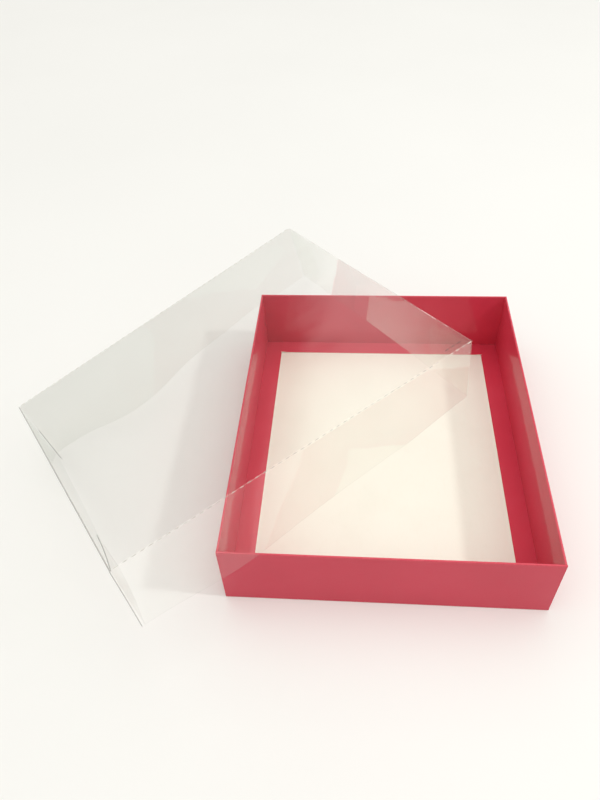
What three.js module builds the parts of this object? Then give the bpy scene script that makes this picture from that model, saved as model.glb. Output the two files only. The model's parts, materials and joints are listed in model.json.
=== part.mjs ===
// A folded card tray with a clear plastic lid lying askew across it.
// Units are millimetres, +Z is up, and the origin is under the middle of the tray's floor.
import * as THREE from "three";

// Tray, folded from one sheet of card
const card = 0.4; // thickness of the sheet
const trayWidth = 190; // outside, along X
const trayLength = 235; // outside, along Y
const trayHeight = 49; // outside, floor to rim
const flapWidth = 13; // red border that each floor flap shows inside the tray
const flapGap = 0.3; // between a floor flap and what it lies beside
const flapNotch = 1.4; // cut back from the crease end of each short flap
const tabLength = 18; // corner tab, glued between two layers of wall
const tabTaper = 5; // how much narrower a corner tab is at its free end, top and bottom
const tabInset = 1; // corner tab kept back from the floor and the rim

// Lid, folded from one sheet of clear plastic
const sheet = 0.3; // thickness of the sheet
const lidClearance = 1; // between the tray's outside and the closed lid, on each side
const lidDepth = 47.5; // height of the lid's walls
const lidTwist = 7.4; // how far two opposite corners stand up, and the other two hang down
const creaseGap = 0.3; // between two panels at their crease
const lidTabReach = 32; // lid tab, from the long wall that it is cut on
const lidTabTaper = 13; // how much shorter the lid tab is at its free edge
const lidTabInset = 1.5; // lid tab kept back from the top panel
const lidTabHinge = 0.5; // lid tab kept back from its own long wall
const lidTabAjar = 7; // angle in degrees that a lid tab stands away from the short wall

// Where the lid lies: its turn, how far it is pushed off the tray, and what it rests on
const lidLeft = 7.4; // middle of the lid, out from the tray's left wall
const lidTurn = 39.2; // turn about the upright axis, in degrees
const restGap = 0.3; // between the lid's lower edges and what they rest on
const cornerGap = 0.5; // between the lid's back wall and the tray's back left corner, along Y
const restPasses = 20; // rounds of settling, each far closer than the one before

// Steps along and across the curved panels
const longSteps = 10;
const shortSteps = 2;

// Worked out from the sizes above
const wall = 3 * card; // outer wall, corner tab and inner wall lie against each other
const halfWidth = trayWidth / 2;
const halfLength = trayLength / 2;
const lidHalfLength = halfLength + lidClearance + sheet;
const lidHalfWidth = halfWidth + lidClearance + sheet;

const signs = [-1, 1];

// Finishes
function redCard() {
  return new THREE.MeshStandardMaterial({ color: 0xb5303f, roughness: 0.3, metalness: 0 });
}

function creamCard() {
  return new THREE.MeshStandardMaterial({ color: 0xf6f0e2, roughness: 0.7, metalness: 0 });
}

function clearPlastic() {
  return new THREE.MeshStandardMaterial({
    color: 0xe6ebe8,
    roughness: 0.08,
    metalness: 0,
    transparent: true,
    opacity: 0.3,
  });
}

function named(name, geometry, material) {
  const mesh = new THREE.Mesh(geometry, material);
  mesh.name = name;
  return mesh;
}

// A flat panel between two opposite corners
function plate(name, low, high, material) {
  const size = high.map((value, axis) => value - low[axis]);
  const middle = high.map((value, axis) => (value + low[axis]) / 2);
  const mesh = named(name, new THREE.BoxGeometry(...size), material);
  mesh.position.set(...middle);
  return mesh;
}

// A panel that stands or lies along one side of the tray. The inset is measured inwards
// from the side's outer face, and the run from the middle of the side to either end.
function sidePanel(name, side, inset, run, heights) {
  const faces = inset.map((distance) => side.sign * (side.outside - distance));
  faces.sort((a, b) => a - b);
  const [low, high] = [0, 1].map((end) => {
    const along = signs[end] * run;
    return side.across === "x" ? [faces[end], along, heights[end]] : [along, faces[end], heights[end]];
  });
  return plate(name, low, high, redCard());
}

// A flap on the floor at the front or back, notched where its ends meet the crease
function shortFlap(name, side, inset, run, heights) {
  const crease = side.outside - inset[0];
  const edge = side.outside - inset[1];
  const outline = new THREE.Shape([
    new THREE.Vector2(-run, edge),
    new THREE.Vector2(run, edge),
    new THREE.Vector2(run - flapNotch, crease),
    new THREE.Vector2(-run + flapNotch, crease),
  ]);
  const geometry = new THREE.ExtrudeGeometry(outline, { depth: heights[1] - heights[0], bevelEnabled: false });
  geometry.translate(0, 0, heights[0]);
  if (side.sign < 0) geometry.rotateZ(Math.PI);
  return named(name, geometry, redCard());
}

// A corner tab: it starts at a side wall and lies flat behind the front or back wall
function cornerTab(name, signX, signY) {
  const low = card + tabInset;
  const high = trayHeight - card - tabInset;
  const start = signX * (halfWidth - card);
  const end = start - signX * tabLength;
  const outline = new THREE.Shape([
    new THREE.Vector2(start, low),
    new THREE.Vector2(end, low + tabTaper),
    new THREE.Vector2(end, high - tabTaper),
    new THREE.Vector2(start, high),
  ]);
  const geometry = new THREE.ExtrudeGeometry(outline, { depth: card, bevelEnabled: false });
  geometry.rotateX(Math.PI / 2);
  const outerFace = halfLength - card;
  geometry.translate(0, signY > 0 ? outerFace : card - outerFace, 0);
  return named(name, geometry, redCard());
}

function makeTray() {
  const tray = new THREE.Group();
  tray.add(plate("tray_floor", [-halfWidth, -halfLength, 0], [halfWidth, halfLength, card], creamCard()));

  // The front and back panels run the full width, and the left and right ones fit between them.
  const longRun = { outer: halfLength - card, rim: halfLength - wall, inner: halfLength - 2 * card };
  const shortRun = { outer: halfWidth, rim: halfWidth, inner: halfWidth - wall };
  const sides = [
    { name: "front", across: "y", sign: -1, outside: halfLength, run: shortRun },
    { name: "back", across: "y", sign: 1, outside: halfLength, run: shortRun },
    { name: "left", across: "x", sign: -1, outside: halfWidth, run: longRun },
    { name: "right", across: "x", sign: 1, outside: halfWidth, run: longRun },
  ];
  const flapInset = [wall + flapGap, wall + flapWidth];
  const flapHeights = [card, 2 * card];
  const shortFlapRun = halfWidth - wall - flapWidth - flapGap;
  const longFlapRun = halfLength - wall - flapGap;
  for (const side of sides) {
    const { name, run } = side;
    const top = trayHeight - card;
    tray.add(sidePanel(`outer_wall_${name}`, side, [0, card], run.outer, [card, top]));
    tray.add(sidePanel(`rim_fold_${name}`, side, [0, wall], run.rim, [top, trayHeight]));
    tray.add(sidePanel(`inner_wall_${name}`, side, [2 * card, wall], run.inner, [2 * card, top]));
    if (side.across === "x") {
      tray.add(sidePanel(`floor_flap_${name}`, side, flapInset, longFlapRun, flapHeights));
    } else {
      tray.add(shortFlap(`floor_flap_${name}`, side, flapInset, shortFlapRun, flapHeights));
    }
  }
  for (const [signY, end] of [[-1, "front"], [1, "back"]]) {
    for (const [signX, side] of [[-1, "left"], [1, "right"]]) {
      tray.add(cornerTab(`corner_tab_${end}_${side}`, signX, signY));
    }
  }
  return tray;
}

// A point of the lid in its own frame. The top is a sheet twisted by its corners, and the
// depth is measured down from its outer face, square to the sheet at that place.
function lidPoint(x, y, depth) {
  const slopeX = (lidTwist * y) / (lidHalfLength * lidHalfWidth);
  const slopeY = (lidTwist * x) / (lidHalfLength * lidHalfWidth);
  const normal = new THREE.Vector3(-slopeX, -slopeY, 1).normalize();
  return new THREE.Vector3(x, y, slopeX * x).addScaledVector(normal, -depth);
}

// A closed thin slab. pointAt gives a point of either face from two shares between 0 and 1.
function slab(columns, rows, pointAt) {
  const points = [];
  const triangles = [];
  const index = (column, row, face) => (face * (rows + 1) + row) * (columns + 1) + column;
  for (const face of [0, 1]) {
    for (let row = 0; row <= rows; row += 1) {
      for (let column = 0; column <= columns; column += 1) {
        points.push(pointAt(column / columns, row / rows, face));
      }
    }
  }
  const quad = (a, b, c, d) => triangles.push(a, b, c, a, c, d);
  for (let row = 0; row < rows; row += 1) {
    for (let column = 0; column < columns; column += 1) {
      const corners = [[column, row], [column + 1, row], [column + 1, row + 1], [column, row + 1]];
      quad(...corners.map(([i, j]) => index(i, j, 0)));
      quad(...corners.reverse().map(([i, j]) => index(i, j, 1)));
    }
  }
  for (let column = 0; column < columns; column += 1) {
    quad(index(column, 0, 0), index(column, 0, 1), index(column + 1, 0, 1), index(column + 1, 0, 0));
    quad(index(column, rows, 0), index(column + 1, rows, 0), index(column + 1, rows, 1), index(column, rows, 1));
  }
  for (let row = 0; row < rows; row += 1) {
    quad(index(0, row, 0), index(0, row + 1, 0), index(0, row + 1, 1), index(0, row, 1));
    quad(index(columns, row, 0), index(columns, row, 1), index(columns, row + 1, 1), index(columns, row + 1, 0));
  }
  return closedGeometry(points, triangles);
}

// Turns the triangles round where they face inwards
function closedGeometry(points, triangles) {
  let volume = 0;
  for (let first = 0; first < triangles.length; first += 3) {
    const [a, b, c] = triangles.slice(first, first + 3).map((corner) => points[corner]);
    volume += a.dot(b.clone().cross(c));
  }
  const geometry = new THREE.BufferGeometry().setFromPoints(points);
  geometry.setIndex(volume > 0 ? triangles : triangles.reverse());
  geometry.computeVertexNormals();
  return geometry;
}

function mix(low, high, share) {
  return low + (high - low) * share;
}

function makeLidTop() {
  const reachX = lidHalfLength - sheet - creaseGap;
  const reachY = lidHalfWidth - sheet - creaseGap;
  const geometry = slab(longSteps, longSteps, (u, v, face) =>
    lidPoint(mix(-reachX, reachX, u), mix(-reachY, reachY, v), face * sheet),
  );
  return named("lid_top", geometry, clearPlastic());
}

// The long walls end just inside the short ones
function makeLongWall(name, signY) {
  const reach = lidHalfLength - sheet - creaseGap;
  const geometry = slab(longSteps, shortSteps, (u, v, face) =>
    lidPoint(mix(-reach, reach, u), signY * (lidHalfWidth - face * sheet), mix(creaseGap, lidDepth, v)),
  );
  return named(name, geometry, clearPlastic());
}

function makeShortWall(name, signX) {
  const geometry = slab(longSteps, shortSteps, (u, v, face) =>
    lidPoint(
      signX * (lidHalfLength - face * sheet),
      mix(-lidHalfWidth, lidHalfWidth, u),
      mix(creaseGap, lidDepth, v),
    ),
  );
  return named(name, geometry, clearPlastic());
}

// A tab cut on a long wall's end and folded in behind the short wall, a little ajar
function makeLidTab(name, signX, signY) {
  const lean = Math.tan(THREE.MathUtils.degToRad(lidTabAjar));
  const startX = lidHalfLength - sheet - creaseGap;
  const startY = lidHalfWidth - sheet - lidTabHinge;
  const geometry = slab(shortSteps, shortSteps, (u, v, face) => {
    const along = u * lidTabReach;
    const bottom = lidDepth - u * lidTabTaper;
    return lidPoint(
      signX * (startX - along * lean - face * sheet),
      signY * (startY - along),
      mix(lidTabInset, bottom, v),
    );
  });
  return named(name, geometry, clearPlastic());
}

// The lid's placement: first turned, then tilted, then moved to its place
function lidMatrix(pose) {
  const tilt = new THREE.Vector3(pose.tiltX, pose.tiltY, 0);
  const turned = new THREE.Matrix4().makeRotationZ(THREE.MathUtils.degToRad(lidTurn));
  const tilted = new THREE.Matrix4().makeRotationAxis(tilt.clone().normalize(), tilt.length());
  const matrix = tilted.multiply(turned);
  return matrix.setPosition(pose.x, pose.y, pose.z);
}

// Where a lower edge of the lid, between two places on its top, passes a line of the tray
function crossing(matrix, start, end, axis, value) {
  const at = (share) => {
    const local = lidPoint(mix(start[0], end[0], share), mix(start[1], end[1], share), lidDepth);
    return local.applyMatrix4(matrix);
  };
  const rising = at(1)[axis] > at(0)[axis];
  let [near, far] = [0, 1];
  for (let step = 0; step < 40; step += 1) {
    const middle = (near + far) / 2;
    if (at(middle)[axis] < value === rising) near = middle;
    else far = middle;
  }
  return at(near);
}

// Tilts and moves the lid until it rests at four places: its back left corner on the table,
// its front wall on the tray's front rim, its right wall on the back rim, and its back wall
// against the tray's back left corner
function restLid() {
  const pose = { x: -halfWidth - lidLeft, y: 0, z: trayHeight, tiltX: 0.01, tiltY: 0.01 };
  const frontLeft = [-lidHalfLength, -lidHalfWidth];
  const frontRight = [lidHalfLength, -lidHalfWidth];
  const backRight = [lidHalfLength, lidHalfWidth];
  const backLeft = [-lidHalfLength, lidHalfWidth];
  const insideY = lidHalfWidth - sheet;
  for (let pass = 0; pass < restPasses; pass += 1) {
    const matrix = lidMatrix(pose);
    const feet = [
      { point: lidPoint(...backLeft, lidDepth).applyMatrix4(matrix), height: 0 },
      { point: crossing(matrix, frontLeft, frontRight, "y", -halfLength), height: trayHeight },
      { point: crossing(matrix, backRight, frontRight, "y", halfLength), height: trayHeight },
    ];
    const rows = feet.flatMap(({ point }) => [1, point.y - pose.y, pose.x - point.x]);
    const misses = new THREE.Vector3(...feet.map(({ point, height }) => height + restGap - point.z));
    const change = misses.applyMatrix3(new THREE.Matrix3().set(...rows).invert());
    const leaning = crossing(matrix, [-lidHalfLength, insideY], [lidHalfLength, insideY], "x", -halfWidth);
    pose.z += change.x;
    pose.tiltX += change.y;
    pose.tiltY += change.z;
    pose.y += halfLength + cornerGap - leaning.y;
  }
  return lidMatrix(pose);
}

function makeLid() {
  const lid = new THREE.Group();
  lid.add(makeLidTop());
  lid.add(makeLongWall("lid_wall_front", -1));
  lid.add(makeLongWall("lid_wall_back", 1));
  lid.add(makeShortWall("lid_wall_left", -1));
  lid.add(makeShortWall("lid_wall_right", 1));
  for (const [signY, end] of [[-1, "front"], [1, "back"]]) {
    for (const [signX, side] of [[-1, "left"], [1, "right"]]) {
      lid.add(makeLidTab(`lid_tab_${end}_${side}`, signX, signY));
    }
  }
  lid.applyMatrix4(restLid());
  return lid;
}

const group = new THREE.Group();
group.add(makeTray());
group.add(makeLid());

export default group;
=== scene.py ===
"""Looks for a folded card tray with a clear plastic lid lying askew across it.

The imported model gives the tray's sizes and the lid's creases. The shapes and the camera's place
are in millimetres, and are turned into metres as they are made. The finishes, the lamps and the
table are in metres.
"""

import json
import math

import bmesh
import bpy
from mathutils import Euler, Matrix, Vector, noise

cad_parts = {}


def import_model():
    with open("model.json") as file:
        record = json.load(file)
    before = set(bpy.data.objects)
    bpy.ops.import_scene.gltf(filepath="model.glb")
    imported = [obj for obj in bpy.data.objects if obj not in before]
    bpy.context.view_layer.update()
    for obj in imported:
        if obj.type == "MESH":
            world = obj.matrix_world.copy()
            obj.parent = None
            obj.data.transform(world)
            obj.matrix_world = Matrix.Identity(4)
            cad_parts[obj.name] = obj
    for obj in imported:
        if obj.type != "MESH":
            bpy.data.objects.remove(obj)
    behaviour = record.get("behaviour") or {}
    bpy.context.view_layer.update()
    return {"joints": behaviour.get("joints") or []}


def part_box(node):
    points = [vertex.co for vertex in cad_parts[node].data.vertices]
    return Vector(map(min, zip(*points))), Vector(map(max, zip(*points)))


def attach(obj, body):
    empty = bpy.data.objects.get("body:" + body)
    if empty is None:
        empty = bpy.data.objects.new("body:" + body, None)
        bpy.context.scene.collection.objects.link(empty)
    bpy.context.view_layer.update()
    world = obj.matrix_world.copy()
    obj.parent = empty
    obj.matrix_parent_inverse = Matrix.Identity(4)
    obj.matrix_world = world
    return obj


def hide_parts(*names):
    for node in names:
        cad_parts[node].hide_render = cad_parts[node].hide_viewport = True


MM = 0.001

# The tray's walls and their folds
RIM_RADIUS = 0.35
RIM_PALENESS = 1
FOOT_RADIUS = 0.45
FOOT_PALENESS = 0.6
FOOT_TUCK = 3 * FOOT_RADIUS
CURL_RADIUS = 0.1
CURL_TURN = 80
FLAT_MARGIN = 1.5
ARC_CELLS = 4
CURL_CELLS = 3
OUTER_ROWS = 14
INNER_ROWS = 16
WALL_CELLS = 60
WALL_END_CELL = 0.995

# The flaps on the tray's floor. The front and back ones step up over their neighbours.
FLAP_OVERLAP = 0.9
FLAP_TUCK = 0.2
FLAP_LIFT = 0.25
FLAP_STEP = 0.5
FLAP_STEP_START = 5
FLAP_STEP_RUN = 4
FLAP_CELLS = (8, 72)

# The tray's floor
FLOOR_INSET = 1.2
FLOOR_SINK = 0.05
FLOOR_DIP = 0.04
FLOOR_DIP_SIZE = 70
FLOOR_CELLS = (40, 32)

# The lid's panels and their folds
PLASTIC = 0.3
PLASTIC_FOLD = 0.7
FOLD_HALF = 45
FOLD_CELLS = 3
LID_DEPTH = 47.5
LENGTH_CELLS = 60
WIDTH_CELLS = 48
DEPTH_CELLS = 12
CORNER_LEAN = 3
CORNER_LEAN_REACH = 60
CORNER_SETBACK = 0.6
SHORT_WALL_END_CELL = 0.3
SHORT_WALL_BORDER = 2

# The lid's tabs
TAB_SETBACK = 0.8
TAB_TOP_INSET = 1.5
TAB_REACH = 32
TAB_TAPER = 13
TAB_AJAR = 4.8
TAB_ROUND = 4
TAB_CURL = 0.6
TAB_CELLS = (24, 12)

# The scored dashes along the lid's two long creases
SCORE_PITCH = 4.8
SCORE_CUT = 2.8
SCORE_WIDTH = 0.55
SCORE_HEIGHT = 0.12
SCORE_SINK = 0.07
SCORE_TIP = 0.08
SCORE_AHEAD = 0.1
SCORE_SIDES = 8
SCORE_CELLS = 6
SCORE_PLACE = PLASTIC_FOLD * 0.25
# Along this run from the lid's right end the dashes are pale, a painted highlight
PAINTED_HIGHLIGHT_RUN = 24
# Dark dashes beside the front crease by the right end, a painted shadow: their place, start and
# end
SHADOW_SCORE_PLACE = 4.6
SHADOW_SCORE_START = 4
SHADOW_SCORE_END = 3

# Bows of the lid's walls, each with its size, and its place and spread as shares of the wall
FRONT_BOW = (3.6, 0.27, 0.16)
FRONT_BOW_CURVE = 1.6
BACK_BOW_OUT = (3, 0.78, 0.1)
BACK_BOW_IN = 21
BACK_BOW_IN_PLACE = 0.28
BACK_BOW_IN_LEFT = 0.12
BACK_BOW_IN_RIGHT = 0.15
BACK_BOW_CURVE = 1.1
LEFT_BOW_FRONT = 0.9
LEFT_BOW_BACK = 0.3
LEFT_BOW_BACK_START = 0.6
LEFT_BOW_FADE = 2.5
RIGHT_BOW = (0.6, 0.5, 0.25)
SHORT_BOW_CURVE = 1.5

# Unevenness: how far it goes, how large its patches are and how soon it fades at the ends
CARD_WAVE = 0.1
CARD_WAVE_SIZE = 34
CARD_WAVE_FADE = 6
PLASTIC_WAVE = 0.5
PLASTIC_WAVE_SIZE = 60
PLASTIC_WAVE_FADE = 30
PANEL_WAVE = 0.3
PANEL_WAVE_SIZE = 50
PANEL_WAVE_FADE_DOWN = 3
PANEL_WAVE_FADE_ALONG = 8

# How far the tray's inner walls stand in
INNER_BULGE = {"front": 0.9, "back": 0.9, "left": 1.7, "right": 0.9}

# Numbers that make the unevenness of the sheets differ
INNER_WALL_SEED = 5
FLAP_SEED = 3
FLOOR_SEED = 9
LID_TOP_SEED = 2
LONG_PANEL_SEED = 4
SHORT_PANEL_SEED = 7

# Places in a sheet's list of materials
OUTER = 0
INNER = 1
EDGE = 2

# The borders of a card sheet whose crease is its last row, and of one where it is the first
CREASE_LAST = (EDGE, OUTER, OUTER, OUTER)
CREASE_FIRST = (OUTER, EDGE, EDGE, EDGE)

# Places in a lid sheet's list of materials
CLEAR = 1
# Cut ends get a dark grey, painted shade for the dark line that a sheet's edge shows when seen
# edge-on
CUT = 2
BOTTOM_EDGE = 3
# The left creases get a dark grey line, painted shade, and the right creases a pale line, a
# painted highlight
PAINTED_SHADE_CREASE = 4
PAINTED_HIGHLIGHT_CREASE = 5
BENT = 6

# Colours of the card
DARK_RED = (0.62, 0.042, 0.078, 1)
LIGHT_RED = (0.655, 0.048, 0.088, 1)
WORN_RED = (0.72, 0.12, 0.15, 1)
DARK_CREAM = (0.865, 0.875, 0.77, 1)
LIGHT_CREAM = (0.90, 0.912, 0.81, 1)
FLECK_CREAM = (0.78, 0.72, 0.59, 1)

# The clear plastic. A grey tint of painted shade fades between two places across the tray, but not
# all the way.
CLEAR_TINT = (0.998, 1, 0.995, 1)
PAINTED_SHADE_TINT = (0.974, 0.976, 0.968, 1)
MIRROR_TINT = (0.93, 0.95, 0.94, 1)
SHADE_TINT_ENDS = (-0.16, -0.08)
SHADE_TINT_FADED = 0.85
PLASTIC_IOR = 1.5
LIGHT_HAZE = 0.004
SCUFFED_HAZE = LIGHT_HAZE * 2.2
SHADOW_SHARE = 0.12
CALM_GLOSS = 0.35
GREY_GLOSS = 0.5
FAINT_GLOSS = 0.7

# Lamps: place, aim, size and power
KEY_LAMP = ((1.03, -0.18, 1.08), (0, 0, 0), 0.12, 4.7)
FAR_LEFT_LAMP = ((0.0, 1.16, 0.93), (0, 0.1, 0), 0.09, 0.11)
FAR_RIGHT_LAMP = ((0.2, 1.15, 0.92), (0.05, 0.1, 0), 0.09, 0.11)
KEY_COLOUR = (1, 0.99, 0.975)
WHITE = (1, 1, 1)

# The world's light, with pairs for where a part of it starts and where it is full
WORLD_COLOUR = (1, 0.988, 0.95, 1)
WORLD_LIGHT = 1.035
LEVEL_LIGHT = 0.35
STEEP_LIGHT = 1.25
FAR_SIDE = (0.2, 0.5)
FAR_TOP = (0.8, 0.72)
FAR_BOTTOM = (0.05, 0.25)
FAR_DIMMING = 0.9
PATCH_AZIMUTH = -13.5
PATCH_ELEVATION = 39
PATCH_SPREAD = (9, 1.5)
WINDOW_SIDE = (0.2, 0.4)
WINDOW_TOP = (0.68, 0.8)
WINDOW_LIGHT = 1.8

# The table
DARK_TABLE = (0.805, 0.806, 0.79, 1)
LIGHT_TABLE = (0.825, 0.826, 0.81, 1)
TABLE_GLOW = 0.045
TABLE_GLOW_COLOUR = (1, 0.99, 0.965, 1)
TABLE_REACH = 6
TABLE_DROP = 0.00005

# The camera, fitted to the tray's corners in a picture of 600 by 800
CAMERA_PLACE = (-19.37, -316.56, 376.95)
CAMERA_ANGLES = (44.29, 2.53, 4.04)
CAMERA_REACH = (0.01, 50)
FOCAL_PIXELS = 684.1
PICTURE_HEIGHT = 800
SENSOR = 36

# How many clear surfaces a ray may pass
CLEAR_LAYERS = 32


# Meshes
def millimetres(point):
    return Vector(point) / MM


def steps(low, high, count):
    return [low + (high - low) * i / count for i in range(count + 1)]


def ease(value):
    """A smooth step, from 0 at 0 to 1 at 1."""
    value = min(max(value, 0), 1)
    return value * value * (3 - 2 * value)


def wave(a, b, size, seed):
    """Smooth unevenness about 0, seldom past -1 or 1."""
    apart, finer, fine_share, aside = 7.3, 2.3, 0.35, Vector((3.1, 5.7, 0))
    spot = Vector((a / size, b / size, seed * apart))
    return noise.noise(spot) + fine_share * noise.noise(spot * finer + aside)


def add_object(name, data):
    """An object in the scene for a mesh, a lamp or the camera."""
    thing = bpy.data.objects.new(name, data)
    bpy.context.scene.collection.objects.link(thing)
    return thing


def sheet_normals(grid):
    """The direction square to a grid of points at each of them."""
    last_row, last_column = len(grid) - 1, len(grid[0]) - 1
    normals = []
    for i, row in enumerate(grid):
        line = []
        for j, _ in enumerate(row):
            down = grid[min(i + 1, last_row)][j] - grid[max(i - 1, 0)][j]
            across = grid[i][min(j + 1, last_column)] - grid[i][max(j - 1, 0)]
            line.append(across.cross(down).normalized())
        normals.append(line)
    return normals


def sheet_faces(rows, columns, edges, creased):
    """A closed sheet's faces and their materials: those of its two sides, then its borders."""
    count = rows * columns
    faces, kinds = [], []
    for i in range(rows - 1):
        for j in range(columns - 1):
            a = i * columns + j
            quad = [a, a + 1, a + columns + 1, a + columns]
            kind = creased(i, j) if creased else None
            faces.append(quad)
            kinds.append(kind or OUTER)
            faces.append([corner + count for corner in reversed(quad)])
            kinds.append(kind or INNER)
    border = list(range(columns))
    border += [i * columns + columns - 1 for i in range(1, rows)]
    border += [(rows - 1) * columns + j for j in range(columns - 2, -1, -1)]
    border += [i * columns for i in range(rows - 2, 0, -1)]
    for here, there in zip(border, border[1:] + border[:1]):
        faces.append([there, here, here + count, there + count])
    first_row, last_column, last_row, first_column = edges
    kinds += [first_row] * (columns - 1) + [last_column] * (rows - 1)
    kinds += [last_row] * (columns - 1) + [first_column] * (rows - 1)
    return faces, kinds


def sharpen_borders(mesh, faces_inside):
    """Only the sheet's two sides are shaded smooth, and not its narrow border faces."""
    shape = bmesh.new()
    shape.from_mesh(mesh)
    for edge in shape.edges:
        edge.smooth = all(face.index < faces_inside for face in edge.link_faces)
    shape.to_mesh(mesh)
    shape.free()


def sheet_piece(name, grid, thickness, materials, edges=(EDGE,) * 4, folds=None, creased=None):
    """A thin closed sheet whose outer face is the grid, with its thickness behind it.

    The first two materials are for the outer and the inner face. edges says which one each
    border has: before the first row, after the last column, after the last row and before the
    first column. folds gives each grid point's share of being on a fold, which the card's
    material reads. creased gives the material of a face on a crease, from its row and column.
    """
    rows, columns = len(grid), len(grid[0])
    outer = [point for row in grid for point in row]
    behind = [normal for row in sheet_normals(grid) for normal in row]
    inner = [point - normal * thickness for point, normal in zip(outer, behind)]
    points = [tuple(point * MM) for point in outer + inner]
    faces, kinds = sheet_faces(rows, columns, edges, creased)
    faces_inside = 2 * (rows - 1) * (columns - 1)
    mesh = bpy.data.meshes.new(name)
    mesh.from_pydata(points, [], faces)
    for material in materials:
        mesh.materials.append(material)
    mesh.polygons.foreach_set("material_index", kinds)
    smooth = [face < faces_inside for face in range(len(faces))]
    mesh.polygons.foreach_set("use_smooth", smooth)
    shares = [share for row in folds for share in row] if folds else [0.0] * len(outer)
    mesh.attributes.new("fold", "FLOAT", "POINT").data.foreach_set("value", shares + shares)
    mesh.update()
    sharpen_borders(mesh, faces_inside)
    return add_object(name, mesh)


# Materials
class Tree:
    """A tree of nodes, with short calls for those that the finishes and the world share."""

    def __init__(self, tree):
        self.tree = tree

    def put(self, socket, value):
        if isinstance(value, bpy.types.NodeSocket):
            self.tree.links.new(value, socket)
        else:
            socket.default_value = value

    def add(self, kind, **inputs):
        node = self.tree.nodes.new(kind)
        for key, value in inputs.items():
            self.put(node.inputs[key.replace("_", " ")], value)
        return node

    def math(self, operation, first, second):
        node = self.add("ShaderNodeMath")
        node.operation = operation
        self.put(node.inputs[0], first)
        self.put(node.inputs[1], second)
        return node.outputs[0]

    def product(self, *factors):
        total = factors[0]
        for factor in factors[1:]:
            total = self.math("MULTIPLY", total, factor)
        return total

    def scaled(self, value, low, high, start=0.3, end=0.7):
        """low where value is at start, high where it is at end, and even between them."""
        node = self.add("ShaderNodeMapRange", Value=value)
        self.put(node.inputs["From Min"], start)
        self.put(node.inputs["From Max"], end)
        self.put(node.inputs["To Min"], low)
        self.put(node.inputs["To Max"], high)
        return node.outputs["Result"]

    def seen_directly(self):
        """1 for rays from the camera, a mirror or through glass, and 0 for light on things."""
        path = self.add("ShaderNodeLightPath").outputs
        mirrored = self.math("MAXIMUM", path["Is Camera Ray"], path["Is Glossy Ray"])
        return self.math("MAXIMUM", mirrored, path["Is Transmission Ray"])


class Nodes(Tree):
    """A new material's tree of nodes."""

    def __init__(self, name):
        self.material = bpy.data.materials.new(name)
        self.material.use_nodes = True
        super().__init__(self.material.node_tree)
        self.tree.nodes.clear()
        self.output = self.add("ShaderNodeOutputMaterial")
        self.place = self.add("ShaderNodeTexCoord").outputs["Object"]

    def noise(self, scale, detail=4, rough=0.5, stretch=(1, 1, 1), bend=0.0):
        """Noise with about as many patches in a metre as scale says."""
        mapping = self.add("ShaderNodeMapping", Vector=self.place, Scale=stretch)
        node = self.add("ShaderNodeTexNoise", Vector=mapping.outputs["Vector"], Scale=scale)
        self.put(node.inputs["Detail"], detail)
        self.put(node.inputs["Roughness"], rough)
        self.put(node.inputs["Distortion"], bend)
        return node.outputs["Fac"]

    def ramp(self, value, low, high, start=0.3, end=0.7):
        """A colour between two, as value goes from start to end."""
        node = self.add("ShaderNodeValToRGB", Fac=value)
        first, last = node.color_ramp.elements
        first.position = start
        last.position = end
        first.color = low
        last.color = high
        return node.outputs["Color"]

    def mixed(self, share, first, second):
        """A mix of two colours, with a share of the second one."""
        first_colour, second_colour, result = 6, 7, 2
        node = self.add("ShaderNodeMix")
        node.data_type = "RGBA"
        self.put(node.inputs["Factor"], share)
        self.put(node.inputs[first_colour], first)
        self.put(node.inputs[second_colour], second)
        return node.outputs[result]

    def bump(self, height, strength, distance):
        node = self.add("ShaderNodeBump", Height=height, Strength=strength, Distance=distance)
        return node.outputs["Normal"]

    def blend(self, share, first, second):
        """A mix of two shaders, with a share of the second one."""
        node = self.add("ShaderNodeMixShader", Fac=share)
        self.put(node.inputs[1], first.outputs[0])
        self.put(node.inputs[2], second.outputs[0])
        return node

    def finish(self, shader):
        self.put(self.output.inputs["Surface"], shader.outputs[0])
        return self.material


def warm_grey(value):
    green, blue = 0.94, 0.85
    return (value, value * green, value * blue, 1)


def red_card():
    """Card printed red under a glossy film: a shade of unevenness, and paler on its folds."""
    nodes = Nodes("red_card")
    cloud = nodes.noise(24, detail=3)
    fibre = nodes.noise(900, detail=5, rough=0.6)
    ripple = nodes.noise(100, detail=2, rough=0.4, stretch=(1, 1, 0.3))
    fold = nodes.add("ShaderNodeAttribute")
    fold.attribute_name = "fold"
    worn = nodes.product(fold.outputs["Fac"], nodes.scaled(fibre, 0.1, 0.5))
    shader = nodes.add(
        "ShaderNodeBsdfPrincipled",
        Base_Color=nodes.mixed(worn, nodes.ramp(cloud, DARK_RED, LIGHT_RED), WORN_RED),
        Roughness=nodes.scaled(fibre, 0.36, 0.46),
        Normal=nodes.bump(fibre, strength=0.04, distance=0.0002),
        Coat_Normal=nodes.bump(ripple, strength=0.3, distance=0.0004),
        Specular_IOR_Level=0.1,
        Coat_Weight=0.42,
        Coat_Roughness=0.05,
        Coat_IOR=1.5,
    )
    return nodes.finish(shader)


def cream_card():
    """The card's uncoated side: warm, matte, with fibres."""
    nodes = Nodes("cream_card")
    cloud = nodes.noise(30, detail=4)
    fibre = nodes.noise(700, detail=6, rough=0.65, stretch=(1, 0.25, 1), bend=0.4)
    colour = nodes.ramp(cloud, DARK_CREAM, LIGHT_CREAM, start=0.1, end=0.5)
    fleck = nodes.scaled(fibre, 0, 0.1, start=0.52, end=0.75)
    shader = nodes.add(
        "ShaderNodeBsdfPrincipled",
        Base_Color=nodes.mixed(fleck, colour, FLECK_CREAM),
        Roughness=nodes.scaled(fibre, 0.6, 0.8),
        Normal=nodes.bump(fibre, strength=0.12, distance=0.0002),
        Specular_IOR_Level=0.3,
    )
    return nodes.finish(shader)


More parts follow.
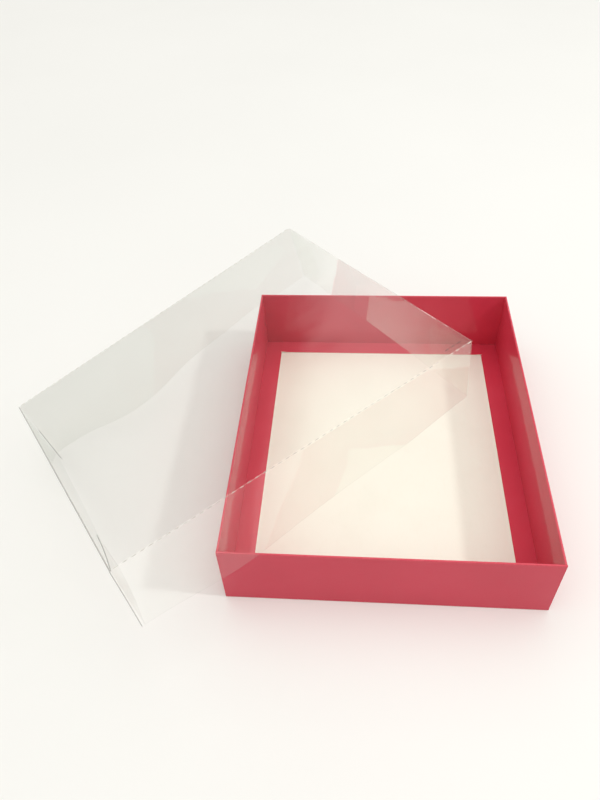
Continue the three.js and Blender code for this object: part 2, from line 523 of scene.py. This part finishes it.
def clear_plastic(name, gloss=1.0, shade_tint=None):
    """A clear glossy sheet. It mirrors as both faces of a thin sheet do, on the face met first.

    A grey tint, painted shade, is full at the lid's left end and has mostly faded where the lid
    reaches the tray.
    """
    nodes = Nodes(name)
    ripple = nodes.noise(28, detail=2, rough=0.4)
    scuff = nodes.noise(160, detail=5, rough=0.7, stretch=(1, 0.2, 1), bend=0.6)
    normal = nodes.bump(ripple, strength=0.25, distance=0.002)
    one_face = nodes.add("ShaderNodeFresnel", IOR=PLASTIC_IOR, Normal=normal).outputs["Fac"]
    twice = nodes.math("MULTIPLY", one_face, 2.0)
    both_faces = nodes.math("DIVIDE", twice, nodes.math("ADD", one_face, 1.0))
    haze = nodes.scaled(scuff, LIGHT_HAZE, SCUFFED_HAZE, start=0.5, end=0.8)
    veiled = nodes.math("ADD", both_faces, haze)
    back = nodes.add("ShaderNodeNewGeometry").outputs["Backfacing"]
    front = nodes.math("SUBTRACT", 1.0, back)
    # Its mirror images light what is under it, so its own shadow is faint.
    shadow_ray = nodes.add("ShaderNodeLightPath").outputs["Is Shadow Ray"]
    shadow = nodes.scaled(shadow_ray, 1, SHADOW_SHARE, start=0, end=1)
    share = nodes.product(veiled, gloss, front, shadow)
    colour = CLEAR_TINT
    if shade_tint:
        across = nodes.add("ShaderNodeSeparateXYZ", Vector=nodes.place).outputs["X"]
        colour = nodes.mixed(nodes.scaled(across, 0, SHADE_TINT_FADED, *SHADE_TINT_ENDS), shade_tint, CLEAR_TINT)
    through = nodes.add("ShaderNodeBsdfTransparent", Color=colour)
    mirror = nodes.add(
        "ShaderNodeBsdfPrincipled",
        Base_Color=MIRROR_TINT,
        Metallic=0.85,
        Roughness=nodes.scaled(scuff, 0.03, 0.1),
        Normal=normal,
    )
    return nodes.finish(nodes.blend(share, through, mirror))


def milky_plastic(name, share, tone, clearness=0.92):
    """Cut, bent or scored plastic, which scatters a share of the light in its own tone. Where that
    tone stands in for light or shade, it is painted shade or a painted highlight.
    """
    dark, thin = 0.85, 0.8
    nodes = Nodes(name)
    grain = nodes.noise(1500, detail=3)
    colour = (clearness, clearness, clearness, 1)
    through = nodes.add("ShaderNodeBsdfTransparent", Color=colour)
    solid = nodes.add(
        "ShaderNodeBsdfPrincipled",
        Base_Color=nodes.ramp(grain, warm_grey(tone * dark), warm_grey(tone)),
        Roughness=0.25,
    )
    return nodes.finish(nodes.blend(nodes.scaled(grain, share * thin, share), through, solid))


# Tray
def reach_of(node, axis):
    """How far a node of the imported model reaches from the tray's middle along an axis."""
    return max(abs(corner[axis]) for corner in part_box(node)) / MM


class Side:
    """One side of the tray: directions along it and outwards, and its sizes from the frame."""

    def __init__(self, name, out):
        self.name = name
        self.out = Vector(out)
        self.along = Vector((0, 0, 1)).cross(self.out)
        self.axis = 0 if out[0] else 1
        self.other_axis = 1 - self.axis
        self.outside = reach_of(f"outer_wall_{name}", self.axis)
        self.inside = min(abs(corner[self.axis]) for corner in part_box(f"inner_wall_{name}")) / MM
        self.outer_run = reach_of(f"outer_wall_{name}", self.other_axis)
        self.rim_run = reach_of(f"rim_fold_{name}", self.other_axis)
        self.inner_run = reach_of(f"inner_wall_{name}", self.other_axis)

    def point(self, along, out, height):
        return self.along * along + self.out * out + Vector((0, 0, height))


def arc(centre, radius, start, end, count):
    """Points (out, height) of an arc, by angles in degrees."""
    points = []
    for angle in steps(math.radians(start), math.radians(end), count):
        out = centre[0] + radius * math.cos(angle)
        height = centre[1] + radius * math.sin(angle)
        points.append((out, height))
    return points


def wall_section(side, card, top):
    """The red face of a folded side, from under the tray over the rim down to the floor.

    Each point is (out, height, run, share of being on a fold, share of waviness).
    """
    outside, inside = side.outside, side.inside
    section = []

    def add_fold(points, run, paleness):
        for out, height in points:
            section.append((out, height, run, paleness, 0))

    def add_flat(out, heights, run):
        for height in heights:
            section.append((out, height, run, 0, math.sin(math.pi * height / top)))

    foot = (outside - FOOT_RADIUS, FOOT_RADIUS)
    outer_rim = (outside - RIM_RADIUS, top - RIM_RADIUS)
    inner_rim = (inside + RIM_RADIUS, top - RIM_RADIUS)
    curl = (inside - CURL_RADIUS, 2 * card + CURL_RADIUS)
    rise = steps(FLAT_MARGIN, top - FLAT_MARGIN, OUTER_ROWS)
    fall = steps(top - FLAT_MARGIN, 2 * card + FLAT_MARGIN, INNER_ROWS)
    add_fold([(outside - FOOT_TUCK, 0)], side.outer_run, 0)
    add_fold(arc(foot, FOOT_RADIUS, -90, 0, ARC_CELLS), side.outer_run, FOOT_PALENESS)
    add_flat(outside, rise, side.outer_run)
    add_fold(arc(outer_rim, RIM_RADIUS, 0, 90, ARC_CELLS), side.rim_run, RIM_PALENESS)
    add_fold(arc(inner_rim, RIM_RADIUS, 90, 180, ARC_CELLS), side.rim_run, RIM_PALENESS)
    add_flat(inside, fall, side.inner_run)
    add_fold(arc(curl, CURL_RADIUS, 0, -CURL_TURN, CURL_CELLS), side.inner_run, 0)
    return section


def make_wall(side, card, top, red, cream):
    """A side of the tray in one bent sheet. Its inner wall stands in a little."""
    shares = steps(-1, 1, WALL_CELLS)[1:-1]
    shares = [-1, -WALL_END_CELL] + shares + [WALL_END_CELL, 1]
    grid, folds = [], []
    for out, height, run, paleness, wavy in wall_section(side, card, top):
        inner = out < side.inside + RIM_RADIUS
        seed = INNER_WALL_SEED * inner + len(side.name)
        # The outer face only sinks, so the tray keeps its width.
        sunk = 0 if inner else 1
        line = []
        for share in shares:
            ends = ease((1 - abs(share)) * CARD_WAVE_FADE)
            uneven = wave(share * run, height, CARD_WAVE_SIZE, seed) - sunk
            push = CARD_WAVE * wavy * ends * uneven
            if inner:
                push -= INNER_BULGE[side.name] * wavy * ends * (height / top) ** 0.5
            line.append(side.point(share * run, out + push, height))
        grid.append(line)
        folds.append([paleness] * len(shares))
    name = f"wall_{side.name}"
    wall = sheet_piece(name, grid, card, [red, cream, cream], edges=CREASE_LAST, folds=folds)
    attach(wall, "tray")
    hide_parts(f"outer_wall_{side.name}", f"rim_fold_{side.name}", f"inner_wall_{side.name}")


def make_flap(side, card, red, cream):
    """A flap on the tray's floor, hardly bowed, with its cut edges bare card."""
    node = f"floor_flap_{side.name}"
    low, high = [millimetres(corner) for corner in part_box(node)]
    ends = abs(low[side.axis]), abs(high[side.axis])
    crease, edge = max(ends) + FLAP_TUCK, min(ends)
    run = high[side.other_axis]
    over = FLAP_OVERLAP if side.name in ("front", "back") else 0
    rows, columns = FLAP_CELLS
    grid = []
    for share in steps(0, 1, rows):
        out = crease + (edge - crease) * share
        reach = run + over * share ** 0.5
        lift = FLAP_LIFT * share * share
        line = []
        for along in steps(-reach, reach, columns):
            ripple = 0.5 + 0.5 * wave(along, out, CARD_WAVE_SIZE, FLAP_SEED)
            past = abs(along) - run + FLAP_STEP_START
            step_up = FLAP_STEP * ease(past / FLAP_STEP_RUN) if over else 0
            line.append(side.point(along, out, high.z + lift * ripple + step_up))
        grid.append(line)
    flap = sheet_piece(f"flap_{side.name}", grid, card, [red, cream, cream], edges=CREASE_FIRST)
    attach(flap, f"{side.name}_flap")
    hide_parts(node)


def make_floor(red, cream):
    """The cream base, which ends at the inner walls."""
    low, high = [millimetres(corner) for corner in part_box("tray_floor")]
    rows, columns = FLOOR_CELLS
    grid = []
    for y in steps(low.y + FLOOR_INSET, high.y - FLOOR_INSET, rows):
        line = []
        for x in steps(low.x + FLOOR_INSET, high.x - FLOOR_INSET, columns):
            dip = FLOOR_DIP * wave(x, y, FLOOR_DIP_SIZE, FLOOR_SEED)
            line.append(Vector((x, y, high.z - FLOOR_SINK + dip)))
        grid.append(line)
    thickness = high.z - 2 * FLOOR_SINK
    floor = sheet_piece("floor_sheet", grid, thickness, [cream, red, cream])
    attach(floor, "tray")
    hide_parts("tray_floor")


def make_tray(red, cream):
    """The tray over its packed panels. Its hidden corner tabs stay as they are packed."""
    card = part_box("tray_floor")[1].z / MM
    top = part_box("rim_fold_front")[1].z / MM
    sides = [
        Side("front", (0, -1, 0)),
        Side("back", (0, 1, 0)),
        Side("left", (-1, 0, 0)),
        Side("right", (1, 0, 0)),
    ]
    for side in sides:
        make_wall(side, card, top, red, cream)
        make_flap(side, card, red, cream)
    make_floor(red, cream)


# Lid
def crossing(first, second):
    """Where two crease lines meet, each given as a place and a direction."""
    (p, u), (q, v) = first, second
    gap = q - p
    uu, uv, vv = u.dot(u), u.dot(v), v.dot(v)
    along = (gap.dot(u) * vv - gap.dot(v) * uv) / (uu * vv - uv * uv)
    return p + u * along


class Lid:
    """The twisted sheet that the lid's top is, from the four crease lines in the frame.

    x runs from the left wall to the right one, and y from the front wall to the back one.
    """

    def __init__(self, joints):
        lines = {}
        for joint in joints:
            if joint["name"].endswith("_wall_fold"):
                side = joint["name"].split("_")[1]
                lines[side] = (millimetres(joint["pos_m"]), Vector(joint["axis"]))
        self.front_left = crossing(lines["front"], lines["left"])
        self.front_right = crossing(lines["front"], lines["right"])
        self.back_right = crossing(lines["back"], lines["right"])
        self.back_left = crossing(lines["back"], lines["left"])
        self.length = (self.front_right - self.front_left).length
        self.width = (self.back_left - self.front_left).length
        self.depth = LID_DEPTH

    def surface(self, x, y):
        """A place on the top, and the direction square to the top there."""
        u, v = x / self.length, y / self.width
        front = self.front_left.lerp(self.front_right, u)
        back = self.back_left.lerp(self.back_right, u)
        along = (self.front_right - self.front_left).lerp(self.back_right - self.back_left, v)
        return front.lerp(back, v), along.cross(back - front).normalized()

    def point(self, x, y, depth):
        """A place under the top. The two front corners lean inwards at their lower ends."""
        place, normal = self.surface(x, y)
        from_corner = min(math.hypot(x, y), math.hypot(self.length - x, y))
        lean = CORNER_LEAN * depth / self.depth * ease(1 - from_corner / CORNER_LEAN_REACH)
        backwards = (self.back_left - self.front_left).normalized()
        return place - normal * depth + backwards * lean


def fold_steps():
    """The half of a fold that a sheet turns through: (set back, dropped), in fold radii."""
    pairs = []
    for angle in steps(math.radians(FOLD_HALF), 0, FOLD_CELLS):
        pairs.append((1 - math.sin(angle), 1 - math.cos(angle)))
    return pairs


def folded_run(length, gap, count):
    """Places along a panel whose two ends turn down, each with how far it has dropped."""
    half = [(gap + back * PLASTIC_FOLD, drop * PLASTIC_FOLD) for back, drop in fold_steps()]
    start = gap + 2 * PLASTIC_FOLD
    end = length - gap - 2 * PLASTIC_FOLD
    middle = [(place, 0.0) for place in steps(start, end, count)]
    other = [(length - place, drop) for place, drop in reversed(half)]
    return half + middle + other


def wall_depths(lid):
    """Depths down a wall from its crease, each with how far the wall is still set back."""
    pairs = []
    for angle in steps(math.radians(FOLD_HALF), math.radians(90), FOLD_CELLS):
        pairs.append((PLASTIC_FOLD * (1 - math.cos(angle)), PLASTIC_FOLD * (1 - math.sin(angle))))
    for depth in steps(2 * PLASTIC_FOLD, lid.depth, DEPTH_CELLS):
        pairs.append((depth, 0.0))
    return pairs


def make_lid_top(lid, plastic):
    """The lid's twisted top panel, turned down at its four creases."""
    columns = folded_run(lid.length, 0, LENGTH_CELLS)
    last = len(columns) - 2
    grid = []
    for y, drop_y in folded_run(lid.width, 0, WIDTH_CELLS):
        line = []
        for x, drop_x in columns:
            near = min(x, lid.length - x, y, lid.width - y)
            uneven = wave(x, y, PLASTIC_WAVE_SIZE, LID_TOP_SEED)
            push = PLASTIC_WAVE * ease(near / PLASTIC_WAVE_FADE) * uneven
            line.append(lid.point(x, y, drop_x + drop_y + push))
        grid.append(line)

    # The left crease is dark, painted shade, and the right one pale, a painted highlight.
    def creased(_, column):
        if column < FOLD_CELLS:
            return PAINTED_SHADE_CREASE
        return PAINTED_HIGHLIGHT_CREASE if column > last - FOLD_CELLS else None

    edges = (CLEAR, CLEAR, CLEAR, CLEAR)
    top = sheet_piece("lid_top_sheet", grid, PLASTIC, plastic, edges, creased=creased)
    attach(top, "lid")
    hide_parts("lid_top")


def bow(share, size, place, spread):
    """How far a lower edge stands out at a share of its length, most of it at one place."""
    return size * math.exp(-((share - place) / spread) ** 2)


def long_wall_bow(name, share, depth_share):
    """How far a long wall stands out from its flat place, more of it towards its lower edge.

    The back wall also bows far inwards, by a bow that spreads less to the left than to the right.
    """
    if name == "front":
        return bow(share, *FRONT_BOW) * depth_share ** FRONT_BOW_CURVE
    spread = BACK_BOW_IN_LEFT if share < BACK_BOW_IN_PLACE else BACK_BOW_IN_RIGHT
    inwards = bow(share, BACK_BOW_IN, BACK_BOW_IN_PLACE, spread)
    return (bow(share, *BACK_BOW_OUT) - inwards) * depth_share ** BACK_BOW_CURVE


def short_wall_bow(name, share, depth_share):
    """How far a short wall stands out from its flat place, more of it towards its lower edge."""
    if name == "left":
        front_end = ease(1 - share * LEFT_BOW_FADE)
        back_end = ease((share - LEFT_BOW_BACK_START) * LEFT_BOW_FADE)
        out = LEFT_BOW_FRONT * front_end + LEFT_BOW_BACK * back_end
    else:
        out = bow(share, *RIGHT_BOW)
    return out * depth_share ** SHORT_BOW_CURVE


def panel_wave(along, share, depth, depth_share, seed):
    """A wall's unevenness, which fades out at its crease and at its two ends."""
    uneven = wave(along, depth, PANEL_WAVE_SIZE, seed)
    push = PANEL_WAVE * ease(depth_share * PANEL_WAVE_FADE_DOWN) * uneven
    return push * ease(min(share, 1 - share) * PANEL_WAVE_FADE_ALONG)


def make_long_wall(lid, name, plastic):
    """The front or back wall of the lid, whose two ends turn in towards its tabs."""
    front = name == "front"
    seed = LONG_PANEL_SEED + front
    grid = []
    for x, drop in folded_run(lid.length, CORNER_SETBACK, LENGTH_CELLS):
        share = x / lid.length
        line = []
        for depth, back in wall_depths(lid):
            depth_share = depth / lid.depth
            out = long_wall_bow(name, share, depth_share)
            out += panel_wave(x, share, depth, depth_share, seed)
            inwards = back + drop - out
            # A wall that leans doesn't grow, so its lower edge comes up.
            low = depth - out ** 2 / (2 * lid.depth)
            line.append(lid.point(x, inwards if front else lid.width - inwards, low))
        grid.append(line if front else line[::-1])
    last = len(grid) - 2

    def creased(row, _):
        return BENT if row < FOLD_CELLS or row > last - FOLD_CELLS else None

    # The crease is the first column of the front wall's grid, and the last of the back wall's.
    edges = (CLEAR, BOTTOM_EDGE, CLEAR, CLEAR) if front else (CLEAR, CLEAR, CLEAR, BOTTOM_EDGE)
    wall = sheet_piece(f"lid_{name}_panel", grid, PLASTIC, plastic, edges, creased=creased)
    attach(wall, f"lid_{name}_wall")
    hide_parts(f"lid_wall_{name}")


def make_short_wall(lid, name, plastic):
    """The left or right wall of the lid, with a plain cut end at each corner."""
    left = name == "left"
    seed = SHORT_PANEL_SEED + left
    places = [0, SHORT_WALL_END_CELL]
    places += steps(SHORT_WALL_BORDER, lid.width - SHORT_WALL_BORDER, WIDTH_CELLS)
    places += [lid.width - SHORT_WALL_END_CELL, lid.width]
    grid = []
    for y in places:
        share = y / lid.width
        line = []
        for depth, back in wall_depths(lid):
            depth_share = depth / lid.depth
            out = short_wall_bow(name, share, depth_share)
            out += panel_wave(y, share, depth, depth_share, seed)
            inwards = back - out
            line.append(lid.point(inwards if left else lid.length - inwards, y, depth))
        grid.append(line[::-1] if left else line)
    last = len(grid[0]) - 2
    # The left wall's crease is dark, painted shade, and the right wall's pale, a painted
    # highlight.
    crease = PAINTED_SHADE_CREASE if left else PAINTED_HIGHLIGHT_CREASE

    def creased(_, column):
        from_crease = last - column if left else column
        return crease if from_crease < FOLD_CELLS else None

    # The crease is the last column of the left wall's grid, and the first of the right wall's.
    edges = (CUT, CLEAR, BENT, BOTTOM_EDGE) if left else (BENT, BOTTOM_EDGE, BENT, CLEAR)
    wall = sheet_piece(f"lid_{name}_panel", grid, PLASTIC, plastic, edges, creased=creased)
    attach(wall, f"lid_{name}_wall")
    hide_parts(f"lid_wall_{name}")


def make_tab(lid, end, side, plastic):
    """A tab turned in from a long wall behind the short wall, standing a little ajar."""
    front, left = end == "front", side == "left"
    lean = math.tan(math.radians(TAB_AJAR))
    rows, columns = TAB_CELLS
    grid = []
    for reach in steps(0, TAB_REACH, rows):
        over = max(0, reach - (TAB_REACH - TAB_ROUND))
        cut = TAB_ROUND - math.sqrt(max(0, TAB_ROUND ** 2 - over ** 2))
        low = lid.depth - reach / TAB_REACH * TAB_TAPER - cut
        curl = TAB_CURL * math.sin(math.pi * reach / TAB_REACH)
        inwards = CORNER_SETBACK + reach * lean + curl
        across = TAB_SETBACK + reach
        x = inwards if left else lid.length - inwards
        y = across if front else lid.width - across
        line = [lid.point(x, y, depth) for depth in steps(TAB_TOP_INSET + cut, low, columns)]
        grid.append(line if front != left else line[::-1])
    edges = (BENT, CUT, CUT, BENT) if left else (BENT, BENT, BOTTOM_EDGE, BENT)
    tab = sheet_piece(f"lid_{end}_{side}_flap", grid, PLASTIC, plastic, edges)
    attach(tab, f"lid_{end}_{side}_tab")
    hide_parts(f"lid_tab_{end}_{side}")


def score_ring(lid, x, y, swell):
    """The points round a scored dash at one place along it."""
    spot, up = lid.surface(x, y)
    ahead, _ = lid.surface(x + SCORE_AHEAD, y)
    side = up.cross(ahead - spot).normalized()
    points = []
    for step in range(SCORE_SIDES):
        angle = 2 * math.pi * step / SCORE_SIDES
        across = side * (SCORE_WIDTH / 2 * math.cos(angle))
        offset = across + up * (SCORE_HEIGHT * math.sin(angle))
        points.append(tuple((spot - up * SCORE_SINK + offset * swell) * MM))
    return points


def score_line(lid, name, y, start, end, plastic):
    """A row of short raised dashes along a crease, from one place to another."""
    around = SCORE_SIDES
    points, faces = [], []
    count = int((end - start) // SCORE_PITCH)
    first = start + (end - start - count * SCORE_PITCH) / 2 + (SCORE_PITCH - SCORE_CUT) / 2
    for dash in range(count):
        before = len(points)
        for share in steps(0, 1, SCORE_CELLS):
            x = first + dash * SCORE_PITCH + SCORE_CUT * share
            swell = math.sin(math.pi * (SCORE_TIP + (1 - 2 * SCORE_TIP) * share)) ** 0.5
            points += score_ring(lid, x, y, swell)
        corners = list(range(before, len(points)))
        for row in range(0, len(corners) - around, around):
            for step in range(around):
                a, b = corners[row + step], corners[row + (step + 1) % around]
                faces.append([a, b, b + around, a + around])
        faces.append(corners[:around][::-1])
        faces.append(corners[-around:])
    mesh = bpy.data.meshes.new(name)
    mesh.from_pydata(points, [], faces)
    mesh.materials.append(plastic)
    mesh.update()
    score = add_object(name, mesh)
    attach(score, "lid")


def make_scores(lid, dark):
    """The scored lines of the long creases.

    By the right front corner the dashes are pale, a painted highlight, with dark dashes beside
    them that are a painted shadow.
    """
    pale = milky_plastic("scored_plastic", share=0.65, tone=0.76)
    painted_highlight = milky_plastic("whitened_plastic", share=0.9, tone=1, clearness=1)
    front, back = SCORE_PLACE, lid.width - SCORE_PLACE
    highlight_start = lid.length - PAINTED_HIGHLIGHT_RUN
    shadow_start, shadow_end = highlight_start + SHADOW_SCORE_START, lid.length - SHADOW_SCORE_END
    score_line(lid, "lid_front_score", front, 0, highlight_start, pale)
    score_line(lid, "lid_back_score", back, 0, lid.length, pale)
    # A painted highlight: these dashes are pale where the crease catches the light.
    score_line(lid, "lid_white_score", front, highlight_start, lid.length, painted_highlight)
    # A painted shadow: dark dashes beside the crease, where its shade falls.
    score_line(lid, "lid_dark_score", SHADOW_SCORE_PLACE, shadow_start, shadow_end, dark)


def border_plastics():
    """Materials for a lid sheet's borders and creases, in the order of the places above."""
    return [
        # Painted shade: a dark grey on cut edges for the dark line that they show edge-on.
        milky_plastic("cut_plastic", share=0.85, tone=0.12),
        milky_plastic("trimmed_plastic", share=0.05, tone=0.7, clearness=0.99),
        # Painted light: a dark grey crease line as painted shade, also used for the dark score
        # dashes, and a pale crease line as a painted highlight.
        milky_plastic("creased_plastic", share=0.4, tone=0.25),
        milky_plastic("creased_pale_plastic", share=0.16, tone=0.85, clearness=1),
        milky_plastic("bent_plastic", share=0.04, tone=0.8, clearness=1),
    ]


def make_lid(joints):
    lid = Lid(joints)
    borders = border_plastics()

    def sheet_plastics(name, gloss=1.0, shade_tint=None):
        face = clear_plastic(name, gloss, shade_tint)
        return [face, face] + borders

    plain = sheet_plastics("clear_plastic")
    calm = sheet_plastics("calm_plastic", CALM_GLOSS)
    faint = sheet_plastics("faint_plastic", FAINT_GLOSS)
    # The back wall's grey tint is painted shade, darker towards the lid's left end.
    shaded = sheet_plastics("grey_plastic", GREY_GLOSS, PAINTED_SHADE_TINT)
    make_lid_top(lid, plain)
    make_long_wall(lid, "front", faint)
    make_long_wall(lid, "back", shaded)
    for name in ("left", "right"):
        make_short_wall(lid, name, plain)
    for end in ("front", "back"):
        make_tab(lid, end, "left", plain)
        make_tab(lid, end, "right", calm)
    make_scores(lid, plain[PAINTED_SHADE_CREASE])


# Studio
def make_camera():
    camera = bpy.data.cameras.new("camera")
    camera.sensor_width = SENSOR
    camera.lens = FOCAL_PIXELS / PICTURE_HEIGHT * SENSOR
    camera.clip_start, camera.clip_end = CAMERA_REACH
    holder = add_object("camera", camera)
    holder.location = Vector(CAMERA_PLACE) * MM
    holder.rotation_euler = Euler([math.radians(angle) for angle in CAMERA_ANGLES], "XYZ")
    bpy.context.scene.camera = holder


def make_lamp(name, place, aim, size, power, colour):
    lamp = bpy.data.lights.new(name, "AREA")
    lamp.shape = "DISK"
    lamp.size = size
    lamp.energy = power
    lamp.color = colour
    holder = add_object(name, lamp)
    holder.location = place
    holder.rotation_euler = (Vector(aim) - Vector(place)).to_track_quat("-Z", "Y").to_euler()


class WorldNodes(Tree):
    """Nodes for the world's light, which depends only on the direction it comes from."""

    def __init__(self, tree):
        super().__init__(tree)
        self.place = self.add("ShaderNodeTexCoord").outputs["Generated"]
        parts = self.add("ShaderNodeSeparateXYZ", Vector=self.place)
        self.back = parts.outputs["Y"]
        self.height = parts.outputs["Z"]

    def fade(self, value, start, end):
        """0 where value is at start, 1 where it is at end, and smooth between them."""
        node = self.add("ShaderNodeMapRange")
        node.interpolation_type = "SMOOTHSTEP"
        self.put(node.inputs["Value"], value)
        self.put(node.inputs["From Min"], start)
        self.put(node.inputs["From Max"], end)
        return node.outputs["Result"]

    def near(self, azimuth, elevation, outside, inside):
        """1 close to a direction and 0 far from it. All four are angles in degrees."""
        turn, rise = math.radians(azimuth), math.radians(elevation)
        level = math.cos(rise)
        towards = (math.sin(turn) * level, math.cos(turn) * level, math.sin(rise))
        node = self.add("ShaderNodeVectorMath")
        node.operation = "DOT_PRODUCT"
        self.put(node.inputs[0], self.place)
        self.put(node.inputs[1], towards)
        edges = [math.cos(math.radians(angle)) for angle in (outside, inside)]
        return self.fade(node.outputs["Value"], *edges)


def make_world():
    """Even light, more of it the steeper it comes, and white where it is seen.

    Mirrors see a dimmer far side of the room with a pale patch in it, and brighter light
    above that side.
    """
    world = bpy.data.worlds.new("studio")
    world.use_nodes = True
    background = world.node_tree.nodes["Background"]
    nodes = WorldNodes(world.node_tree)
    mirrored = nodes.add("ShaderNodeLightPath").outputs["Is Glossy Ray"]
    patch = nodes.near(PATCH_AZIMUTH, PATCH_ELEVATION, *PATCH_SPREAD)
    dimming = nodes.product(
        nodes.fade(nodes.back, *FAR_SIDE),
        nodes.fade(nodes.height, *FAR_TOP),
        nodes.fade(nodes.height, *FAR_BOTTOM),
        nodes.math("SUBTRACT", 1.0, patch),
        mirrored,
        FAR_DIMMING,
    )
    window = nodes.product(
        nodes.fade(nodes.back, *WINDOW_SIDE),
        nodes.fade(nodes.height, *WINDOW_TOP),
        mirrored,
        WINDOW_LIGHT,
    )
    seen = nodes.math("ADD", nodes.math("SUBTRACT", 1.0, dimming), window)
    steep = nodes.product(nodes.height, nodes.height, STEEP_LIGHT)
    unseen = nodes.product(WORLD_LIGHT, nodes.math("ADD", LEVEL_LIGHT, steep))
    strength = nodes.scaled(nodes.seen_directly(), unseen, seen, start=0, end=1)
    nodes.put(background.inputs["Color"], WORLD_COLOUR)
    nodes.put(background.inputs["Strength"], strength)
    bpy.context.scene.world = world


def table_finish():
    """A pale matte top that is a little brighter where it is seen."""
    nodes = Nodes("table")
    shader = nodes.add(
        "ShaderNodeBsdfPrincipled",
        Base_Color=nodes.ramp(nodes.noise(3, detail=3), DARK_TABLE, LIGHT_TABLE),
        Roughness=0.9,
        Specular_IOR_Level=0.1,
    )
    strength = nodes.product(nodes.seen_directly(), TABLE_GLOW)
    glow = nodes.add("ShaderNodeEmission", Color=TABLE_GLOW_COLOUR, Strength=strength)
    both = nodes.add("ShaderNodeAddShader")
    nodes.put(both.inputs[0], shader.outputs[0])
    nodes.put(both.inputs[1], glow.outputs[0])
    return nodes.finish(both)


def make_table():
    mesh = bpy.data.meshes.new("table")
    reach = TABLE_REACH
    corners = [(-reach, -reach, 0), (reach, -reach, 0), (reach, reach, 0), (-reach, reach, 0)]
    mesh.from_pydata(corners, [], [[0, 1, 2, 3]])
    mesh.materials.append(table_finish())
    table = add_object("table", mesh)
    table.location.z = -TABLE_DROP


def make_studio():
    make_camera()
    make_world()
    make_lamp("key", *KEY_LAMP, KEY_COLOUR)
    make_lamp("far_left", *FAR_LEFT_LAMP, WHITE)
    make_lamp("far_right", *FAR_RIGHT_LAMP, WHITE)
    make_table()
    scene = bpy.context.scene
    scene.view_settings.view_transform = "Standard"
    scene.cycles.transparent_max_bounces = CLEAR_LAYERS


def main():
    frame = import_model()
    make_studio()
    make_tray(red_card(), cream_card())
    make_lid(frame["joints"])


main()
